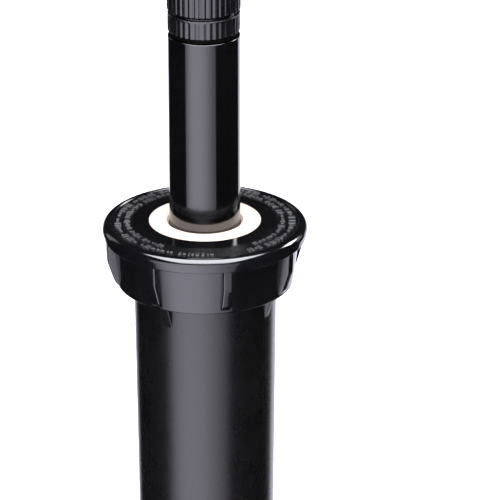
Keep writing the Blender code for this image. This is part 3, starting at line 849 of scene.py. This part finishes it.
def world():
    """White for the camera, and a dim cool room for reflections."""
    made = bpy.data.worlds.new("studio")
    made.use_nodes = True
    tree = made.node_tree
    tree.nodes.clear()
    output = tree.nodes.new('ShaderNodeOutputWorld')
    room = tree.nodes.new('ShaderNodeBackground')
    room.inputs["Color"].default_value = (0.014, 0.014, 0.017, 1.0)
    paper = tree.nodes.new('ShaderNodeBackground')
    paper.inputs["Color"].default_value = (1.0, 1.0, 1.0, 1.0)
    path = tree.nodes.new('ShaderNodeLightPath')
    mix = tree.nodes.new('ShaderNodeMixShader')
    tree.links.new(path.outputs["Is Camera Ray"], mix.inputs["Fac"])
    tree.links.new(room.outputs["Background"], mix.inputs[1])
    tree.links.new(paper.outputs["Background"], mix.inputs[2])
    tree.links.new(mix.outputs["Shader"], output.inputs["Surface"])
    bpy.context.scene.world = made


def floor():
    """Plain pale floor under the object."""
    mesh = bpy.data.meshes.new("floor")
    half = 3.0
    level = cad_box[0][2] - 0.0002
    corners = [(x * half, y * half, level) for x, y in ((-1, -1), (1, -1), (1, 1), (-1, 1))]
    mesh.from_pydata(corners, [], [(0, 1, 2, 3)])
    ground = new_object("floor", mesh)
    surface = Surface("floor_paper", 0.2)
    surface.colour(surface.remap(surface.noise(30.0, 4.0), 0.3, 0.7, 0.0, 1.0),
                   (0.90, 0.90, 0.90), (0.93, 0.93, 0.93))
    surface.roughness(surface.remap(surface.noise(200.0), 0.3, 0.7, 0.85, 0.95))
    dress(ground, surface.material)
    ground.visible_glossy = False
    ground.visible_shadow = False


def lights():
    """Soft panels in front, above and behind, and a small bright light high at the rear right."""
    cool = (0.96, 0.94, 1.11)
    front = softbox("front_softbox", centre=(-0.60, -1.2, -1.50), target=(-0.60, 0.0, -1.50),
                    width=3.04, height=4.0, radiance=2.3, colour=cool)
    fade(front.data, "X", near=0.38, full=0.46, fall=0.58, far=0.30)
    overhead = softbox("overhead_softbox", centre=(0.0, -0.95, 1.45), target=(0.0, -0.95, 0.0),
                       width=2.1, height=2.3, radiance=9.5, colour=(0.97, 0.98, 1.03))
    fade(overhead.data, "Y", near=0.20, full=0.55, fall=0.98, far=0.90)
    softbox("side_light", centre=(1.50, 0.91, 1.10), target=(0.0, 0.0, 0.12),
            width=0.6, height=0.6, radiance=16.0)
    softbox("back_softbox", centre=(0.2, 1.2, -1.30), target=(0.2, 0.0, -1.30),
            width=1.6, height=2.6, radiance=1.6, colour=cool)
    softbox("rear_left_softbox", centre=(-1.5, 1.3, 0.7), target=(0.0, 0.0, 0.1),
            width=0.5, height=1.2, radiance=0.8)
    softbox("rear_right_softbox", centre=(1.6, 1.2, 0.7), target=(0.0, 0.0, 0.1),
            width=0.5, height=1.2, radiance=0.8)


def camera():
    """Long lens in front of the object, which looks down at it by 23 degrees."""
    lens = bpy.data.cameras.new("camera")
    lens.lens = 238.5
    lens.sensor_width = 36.0
    lens.clip_start = 0.01
    lens.shift_y = -0.002
    made = new_object("camera", lens)
    made.location = (0.0125, -0.8479, 0.4773)
    made.rotation_euler = (math.radians(66.9), 0.0, 0.0)
    bpy.context.scene.camera = made


# ---------------------------------------------------------------- assembly

camera()
world()
floor()
lights()
bpy.context.scene.view_settings.view_transform = 'Standard'

body_plastic = moulded("body_plastic", (0.0014, 0.0012, 0.0012), (0.0024, 0.0021, 0.0021),
                       gloss=0.28, spread=0.02, grain=0.03, specular=0.84)
stem_plastic = moulded("stem_plastic", (0.0010, 0.0009, 0.0010), (0.0016, 0.0015, 0.0016),
                       gloss=0.10, spread=0.02, grain=0.015)
nozzle_plastic = moulded("nozzle_plastic", (0.0014, 0.0014, 0.0017), (0.0030, 0.0030, 0.0034),
                         gloss=0.28, spread=0.05, grain=0.15)
grey_plastic = moulded("inner_plastic", (0.27, 0.28, 0.29), (0.36, 0.37, 0.38),
                       gloss=0.42, spread=0.07, grain=0.20, specular=0.5)
# The marks' plastic is painted far lighter than the cap's black: a painted highlight for the light
# their raised tops catch.
mark_painted_highlight = moulded("mark_painted_highlight", (0.020, 0.020, 0.022), (0.045, 0.045, 0.049),
                       gloss=0.34, spread=0.06, grain=0.30)
rubber = soft_rubber("soft_rubber", (0.010, 0.010, 0.010), (0.022, 0.021, 0.020),
                     specular=0.4)
groove_rubber = soft_rubber("groove_rubber", (0.0008, 0.0008, 0.0008), (0.0018, 0.0018, 0.0018),
                            specular=0.05)
wire_steel = steel("spring_steel", (1.0, 1.0, 0.2))
screw_steel = steel("screw_steel", (0.1, 0.1, 1.0))
cap_surface = cap_plastic()

case_shell(body_plastic)
cap_shell(cap_surface)
cap_marks(mark_painted_highlight)
cap_arc(cap_surface)
seal_ring(seal_rubber())
spring_coil(wire_steel)
stem_tube(stem_plastic)
nozzle_base_ring(nozzle_plastic)
arc_collar_ring(nozzle_plastic)
deflector_top(nozzle_plastic)
radius_screw_fine(screw_steel)

for node, surface in (("spring_seat_ring", grey_plastic), ("ratchet_ring", grey_plastic),
                      ("check_valve_seal", rubber), ("check_valve_holder", grey_plastic),
                      ("nozzle_gasket", groove_rubber), ("filter_basket", grey_plastic),
                      ("filter_gauze", gauze()), ("nozzle_hub", nozzle_plastic),
                      ("collar_friction_ring", rubber), ("screw_stop_clip", screw_steel),
                      ("throttle_nut", grey_plastic)):
    dress(frame["nodes"][node], surface)
